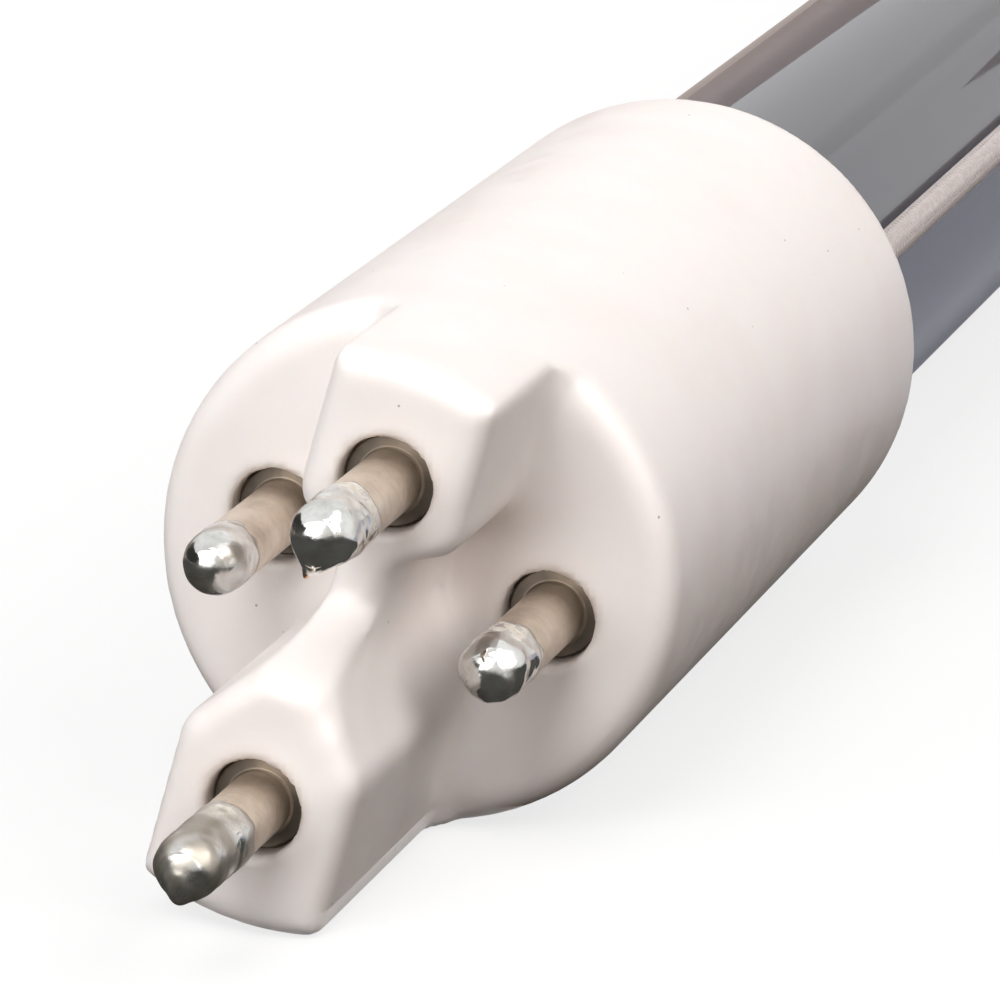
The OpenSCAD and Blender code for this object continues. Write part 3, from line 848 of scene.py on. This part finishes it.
def tube_skin(jig, inset, start, end, open_ended):
    """One skin of the tube, set in from the outside; the inner one closes to a rounded end."""
    skin = jig.swept(jig.line((0, 0, 0), (0, 1, 0), TUBE_RINGS), 1.0, TUBE_SIDES, open_ended)
    x, along, z = jig.place_of()
    y = jig.eased(along, 0.0, 1.0, start, end)
    depth = jig.math("MINIMUM", jig.less(y, jig.get("Near_End")), jig.less(jig.get("Far_End"), y))
    pressed = jig.get("Press_Length")
    round_from = jig.plus(pressed, jig.get("Shoulder"))
    radius = jig.get("Radius")
    half_t = jig.times(jig.get("Press_Thickness"), 0.5)
    half_t = jig.less(jig.eased(depth, pressed, round_from, half_t, radius), inset)
    half_w = jig.times(jig.get("Press_Width"), 0.5)
    half_w = jig.less(jig.eased(depth, pressed, round_from, half_w, radius), inset)
    if not open_ended:
        left = jig.math("MINIMUM", jig.less(y, start), jig.less(end, y))
        near = jig.math("DIVIDE", left, jig.less(jig.get("Shoulder"), jig.get("Wall")))
        near = jig.math("MAXIMUM", jig.math("MINIMUM", near, 1.0), 0.0)
        closing = jig.math("SQRT", jig.times(near, jig.less(2.0, near)))
        x, z = jig.times(x, closing), jig.times(z, closing)
    rise = jig.times(z, jig.less(radius, inset))
    rise = jig.math("MAXIMUM", jig.math("MINIMUM", rise, half_t), jig.times(half_t, -1.0))
    return jig.moved(skin, jig.point(jig.times(x, half_w), y, rise))


tube_low, tube_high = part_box("quartz_tube")
# The tube's grey is painted shade, from its finish
tube = tube_jig().make("tube_painted_grey", QUARTZ, Near_End=tube_low.y, Far_End=tube_high.y)
fitted(tube, QUARTZ, "quartz", "quartz_tube")


# Filament coils

COIL_STEPS = 28
WIRE_SIDES = 12
COAT = 0.06 * MM
COAT_LUMPS = 0.5 * MM
LEG_GAP = 1.1 * COIL_WIRE_D


def coil_jig():
    """A coil of wire across the lamp, lumpy with its emitter coating."""
    jig = Jig("coiled_filament", Span=0.005, Turns=COIL_TURNS, Coil_Radius=(COIL_D - COIL_WIRE_D) / 2,
              Wire_Radius=COIL_WIRE_D / 2, Coat=COAT, Seed=1, X=0.0, Y=0.0, Z=0.0, Turn=KEY_TURN)
    path = jig.node("GeometryNodeCurveSpiral", {
        "Resolution": COIL_STEPS, "Rotations": jig.get("Turns"), "Start Radius": jig.get("Coil_Radius"),
        "End Radius": jig.get("Coil_Radius"), "Height": jig.get("Span")}).outputs[0]
    x, y, z = jig.place_of()
    path = jig.moved(path, jig.point(jig.less(z, jig.times(jig.get("Span"), 0.5)), x, y))
    coil = jig.swept(path, jig.get("Wire_Radius"), WIRE_SIDES)
    lumps = jig.times(jig.less(jig.lumps(COAT_LUMPS, jig.get("Seed")), 0.7), jig.get("Coat"))
    jig.close(jig.placed(jig.swollen(coil, lumps), jig.seat(), jig.get("Turn")))
    return jig


COIL_JIG = coil_jig()
for seed, end in enumerate(("near", "far")):
    legs = [middle(f"{end}_post_{side}") for side in (1, 2)]
    gap = (legs[0] - legs[1]).length - POST_D - LEG_GAP
    coil = COIL_JIG.make(f"{end}_coil", EMITTER, middle(f"{end}_filament"), Span=gap, Seed=seed)
    fitted(coil, EMITTER, "filament_metal", f"{end}_filament")


# Braided sleeves of the return wires

STRAND_W = 0.25 * MM
STRAND_T = 0.06 * MM
WEAVE = 0.018 * MM
BRAID_PITCH = 3.2 * MM
STRANDS = 8
HOOP_SIDES = 20


def braid_jig():
    """A sleeve of strands wound both ways over and under each other, on a thin round core tube."""
    jig = Jig("braided_sleeve", Length=0.1, Radius=SLEEVE_R, Bore=SLEEVE_BORE,
              Strand_Width=STRAND_W, Strand_Thickness=STRAND_T, Weave=WEAVE, Pitch=BRAID_PITCH,
              Strands=STRANDS, X=0.0, Y=0.0, Z=0.0)
    crossings = jig.times(jig.get("Strands"), 2.0)
    laps = jig.math("DIVIDE", jig.get("Length"), jig.get("Pitch"))
    steps = jig.math("FLOOR", jig.times(laps, crossings))
    path = jig.line((0, 0, 0), jig.point(0.0, jig.get("Length"), 0.0), jig.plus(steps, 1.0))
    half_strand = jig.times(jig.get("Strand_Thickness"), 0.5)
    lay = jig.less(jig.less(jig.get("Radius"), jig.get("Weave")), half_strand)
    ribbon = jig.node("GeometryNodeCurvePrimitiveQuadrilateral", {
        "Width": jig.get("Strand_Thickness"), "Height": jig.get("Strand_Width")}).outputs[0]
    sets = [strand_set(jig, path, ribbon, lay, crossings, hand) for hand in (1.0, -1.0)]
    core = jig.less(jig.less(lay, jig.get("Weave")), half_strand)
    wall = jig.less(core, jig.get("Bore"))
    hoop = jig.node("GeometryNodeCurvePrimitiveCircle", {
        "Resolution": HOOP_SIDES, "Radius": jig.times(jig.plus(core, jig.get("Bore")), 0.5)}).outputs[0]
    section = jig.node("GeometryNodeCurvePrimitiveQuadrilateral", {
        "Width": wall, "Height": jig.get("Length")}).outputs[0]
    tube = jig.node("GeometryNodeCurveToMesh", {"Curve": hoop, "Profile Curve": section}).outputs[0]
    x, y, z = jig.place_of()
    tube = jig.moved(tube, jig.point(y, jig.plus(z, jig.times(jig.get("Length"), 0.5)), x))
    jig.close(jig.placed(jig.joined(*sets, tube), jig.seat()), 60)
    return jig


def strand_set(jig, path, ribbon, lay, crossings, hand):
    """All the strands that wind one way, each over and under in turn."""
    copies = jig.node("GeometryNodeDuplicateElements", {
        "Geometry": path, "Amount": jig.get("Strands")}, domain="SPLINE")
    step = jig.node("GeometryNodeSplineParameter").outputs["Index"]
    share = jig.plus(jig.math("DIVIDE", jig.times(step, hand), crossings),
                     jig.math("DIVIDE", copies.outputs["Duplicate Index"], jig.get("Strands")))
    angle = jig.times(share, 2 * math.pi)
    over = jig.less(1.0, jig.times(jig.math("MODULO", step, 2.0), 2.0))
    radius = jig.plus(lay, jig.times(jig.times(over, hand), jig.get("Weave")))
    across, up = jig.math("COSINE", angle), jig.math("SINE", angle)
    strands = jig.node("GeometryNodeSetCurveNormal", {
        "Curve": copies.outputs[0], "Normal": jig.point(across, 0.0, up)}, mode="FREE").outputs[0]
    along = jig.place_of()[1]
    strands = jig.moved(strands, jig.point(jig.times(radius, across), along, jig.times(radius, up)))
    return jig.node("GeometryNodeCurveToMesh", {
        "Curve": strands, "Profile Curve": ribbon, "Fill Caps": True}).outputs[0]


BRAID_JIG = braid_jig()
for number in (1, 2):
    node = f"wire_sleeve_{number}"
    low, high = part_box(node)
    place = middle(node)
    place.y = low.y
    sleeve = BRAID_JIG.make(f"braided_sleeve_{number}", SLEEVE, place, Length=high.y - low.y)
    fitted(sleeve, SLEEVE, "sleeving", node)


# Amalgam bead

BEAD_STEPS = 5
WRINKLE = 0.08 * MM
WRINKLE_SIZE = 0.8 * MM


def bead_jig():
    """A bead of amalgam, slumped a little where it wetted the glass."""
    jig = Jig("amalgam_bead", Radius=0.001, Slump=0.12, Wrinkle=WRINKLE, Seed=3, X=0.0, Y=0.0, Z=0.0)
    bead = jig.node("GeometryNodeMeshIcoSphere", {
        "Radius": jig.get("Radius"), "Subdivisions": BEAD_STEPS}).outputs[0]
    wrinkles = jig.times(jig.less(jig.lumps(WRINKLE_SIZE, jig.get("Seed")), 0.75), jig.get("Wrinkle"))
    bead = jig.swollen(bead, wrinkles)
    x, y, z = jig.place_of()
    low = jig.times(jig.get("Radius"), -1.0)
    slumped = jig.plus(low, jig.times(jig.less(z, low), jig.less(1.0, jig.get("Slump"))))
    bead = jig.moved(bead, jig.point(x, y, slumped))
    jig.close(jig.placed(bead, jig.seat()))
    return jig


low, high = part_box("amalgam_pellet")
bead = bead_jig().make("amalgam_bead", AMALGAM, middle("amalgam_pellet"), Radius=(high.z - low.z) / 2)
fitted(bead, AMALGAM, "amalgam", "amalgam_pellet")


# What keeps its CAD shape

CARRIED = {"base_cement": CEMENT, "cap_cement": CEMENT,
           "near_lead_1": LEAD, "near_lead_2": LEAD, "return_wire_1": LEAD, "return_wire_2": LEAD}
for end in ("near", "far"):
    for side in (1, 2):
        CARRIED[f"{end}_foil_{side}"] = FOIL
        CARRIED[f"{end}_post_{side}"] = POST
for node, material in CARRIED.items():
    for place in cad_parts[node].material_slots:
        place.material = material


# Studio

FLOOR_Z = -BARREL_R
FLOOR_REACH = 3.0
WORLD_LIGHT = 0.03
WORLD_COLOUR = (1.0, 0.90, 0.80)
FLOOR_GLOW = 0.75
FLOOR_BOUNCE = (0.045, 0.03, 0.02)
CARD_GAP = 0.5 * MM
BLACK = (0.07, 0.07, 0.065)
GREY = (0.42, 0.43, 0.50)
BROWN = (0.27, 0.215, 0.195)
TAN = (0.45, 0.38, 0.35)
WHITE = (1, 1, 1)
WARM = (1.0, 0.965, 0.94)

# Edges that the studio cards share
MID_Y = 0.012
NEAR_Y = -0.45
FAR_Y = 0.60
LEFT_X = -0.03
FAR_LEFT_X = -0.30

# Each lamp: the way it stands from the part, its level of white, its spread in degrees, its
# colour, and whether it shows in metal and glass
LAMPS = {
    "key": ((0.0, -0.60, 0.80), 0.43, 30, WHITE, True),
    "top_fill": ((0.50, -0.10, 0.86), 0.11, 50, WHITE, True),
    "side_fill": ((0.77, -0.27, 0.58), 0.54, 45, WARM, True),
    "front_fill": ((-0.36, -0.82, 0.45), 0.54, 60, WHITE, True),
    "back_fill": ((0.0, 0.98, 0.12), 0.45, 60, WHITE, False),
    "left_fill": ((-0.93, -0.10, 0.33), 0.20, 60, WHITE, False),
}


def flat_corners(low, high, level):
    """The corners of a level rectangle between two of them."""
    return [(low[0], low[1], level), (high[0], low[1], level),
            (high[0], high[1], level), (low[0], high[1], level)]


def studio_floor():
    """A wide pale floor under the lamp."""
    mesh = bpy.data.meshes.new("floor")
    corners = flat_corners((-FLOOR_REACH, -FLOOR_REACH), (FLOOR_REACH, FLOOR_REACH), FLOOR_Z)
    mesh.from_pydata(corners, [], [(0, 1, 2, 3)])
    mesh.materials.append(floor_finish())
    shown("floor", mesh)


def floor_finish():
    """White paper with a light shadow where it is seen, and dull ground in the light it throws back."""
    f = Finish("pale_floor", Roughness=0.9)
    f.set(f.skin, {"Base Color": (0.95, 0.95, 0.95, 1), "Specular IOR Level": 0.1})
    glow = f.node("ShaderNodeEmission", {"Color": (*WHITE, 1), "Strength": 1.0})
    paper = f.node("ShaderNodeMixShader", {0: FLOOR_GLOW, 1: f.skin.outputs[0], 2: glow.outputs[0]})
    ground = f.node("ShaderNodeBsdfDiffuse", {"Color": (*FLOOR_BOUNCE, 1)})
    seen = seen_rays(f.nodes, f.links)
    floor = f.node("ShaderNodeMixShader", {0: seen, 1: ground.outputs[0], 2: paper.outputs[0]})
    f.links.new(floor.outputs[0], f.nodes["Material Output"].inputs[0])
    return f.material


def seen_rays(nodes, links):
    """One for rays that show the ground to the camera, to metal or through glass, else none."""
    path = nodes.new("ShaderNodeLightPath")
    share = path.outputs["Is Camera Ray"]
    for ray in ("Is Glossy Ray", "Is Transmission Ray"):
        either = nodes.new("ShaderNodeMath")
        either.operation = "MAXIMUM"
        links.new(share, either.inputs[0])
        links.new(path.outputs[ray], either.inputs[1])
        share = either.outputs[0]
    return share


def studio_world():
    """An even white surround: full white where it is seen, gentler and warm where it lights."""
    world = bpy.data.worlds.new("studio")
    bpy.context.scene.world = world
    world.use_nodes = True
    nodes = world.node_tree.nodes
    links = world.node_tree.links
    nodes.clear()
    lighting = nodes.new("ShaderNodeBackground")
    lighting.inputs["Color"].default_value = (*WORLD_COLOUR, 1)
    lighting.inputs["Strength"].default_value = WORLD_LIGHT
    white = nodes.new("ShaderNodeBackground")
    white.inputs["Color"].default_value = (*WHITE, 1)
    white.inputs["Strength"].default_value = 1.0
    mix = nodes.new("ShaderNodeMixShader")
    links.new(seen_rays(nodes, links), mix.inputs[0])
    links.new(lighting.outputs[0], mix.inputs[1])
    links.new(white.outputs[0], mix.inputs[2])
    out = nodes.new("ShaderNodeOutputWorld")
    links.new(mix.outputs[0], out.inputs[0])


def soft_light(name, direction, level, spread, colour, shows):
    """Even soft light from one direction, which lights a face turned to it at that level of white."""
    lamp = bpy.data.lights.new(name, "SUN")
    lamp.energy = level * math.pi
    lamp.angle = math.radians(spread)
    lamp.color = colour
    holder = bpy.data.objects.new(name, lamp)
    bpy.context.scene.collection.objects.link(holder)
    holder.rotation_euler = Vector(direction).to_track_quat("Z", "Y").to_euler()
    holder.visible_glossy = shows
    holder.visible_transmission = shows


def card(name, colour, corners):
    """A dull card that shows only in polished metal, glaze and glass, as in any photograph of them."""
    mesh = bpy.data.meshes.new(name)
    mesh.from_pydata(corners, [], [(0, 1, 2, 3)])
    piece = shown(name, mesh)
    f = Finish(name, Roughness=0.9)
    f.set(f.skin, {"Base Color": (*colour, 1), "Specular IOR Level": 0.0})
    mesh.materials.append(f.material)
    for ray in ("camera", "diffuse", "transmission", "volume_scatter", "shadow"):
        setattr(piece, f"visible_{ray}", False)


studio_floor()
studio_world()
for name, settings in LAMPS.items():
    soft_light(name, *settings)

card_z = FLOOR_Z + CARD_GAP
top_z = FLOOR_Z + 2 * CARD_GAP
card("front_card", BLACK, flat_corners((-0.25, NEAR_Y), (0.30, MID_Y), top_z))
card("under_card", BLACK, flat_corners((LEFT_X, MID_Y), (0.022, 0.035), top_z))
card("side_card", GREY, flat_corners((LEFT_X, MID_Y), (0.50, FAR_Y), card_z))
card("edge_card", TAN, flat_corners((FAR_LEFT_X, MID_Y), (LEFT_X, FAR_Y), card_z))
card("left_card", BLACK, [
    (FAR_LEFT_X, NEAR_Y, card_z), (FAR_LEFT_X, 0.20, card_z),
    (FAR_LEFT_X, 0.20, 0.16), (FAR_LEFT_X, NEAR_Y, 0.16)])
card("back_card", BROWN, [
    (-0.70, 0.35, card_z), (0.10, 0.35, card_z), (0.10, 0.45, 0.10), (-0.70, 0.45, 0.10)])


# Camera, as the photograph was taken

AZIMUTH = math.radians(17.59)
ELEVATION = math.radians(15.96)
VIEW_DISTANCE = 0.2500
AIM = Vector((-0.00057, -0.00560, -0.00093))
SENSOR = 36
LENS = 234
CLIP_START = 0.01

level = math.cos(ELEVATION)
toward = Vector((math.sin(AZIMUTH) * level, -math.cos(AZIMUTH) * level, math.sin(ELEVATION)))
right = Vector((math.cos(AZIMUTH), math.sin(AZIMUTH), 0))
up = toward.cross(right)
optics = bpy.data.cameras.new("camera")
optics.sensor_width = SENSOR
optics.lens = LENS
optics.clip_start = CLIP_START
camera = bpy.data.objects.new("camera", optics)
bpy.context.scene.collection.objects.link(camera)
turn = Matrix((right, up, toward)).transposed().to_4x4()
camera.matrix_world = Matrix.Translation(AIM + toward * VIEW_DISTANCE) @ turn
bpy.context.scene.camera = camera
bpy.context.scene.view_settings.view_transform = "Standard"
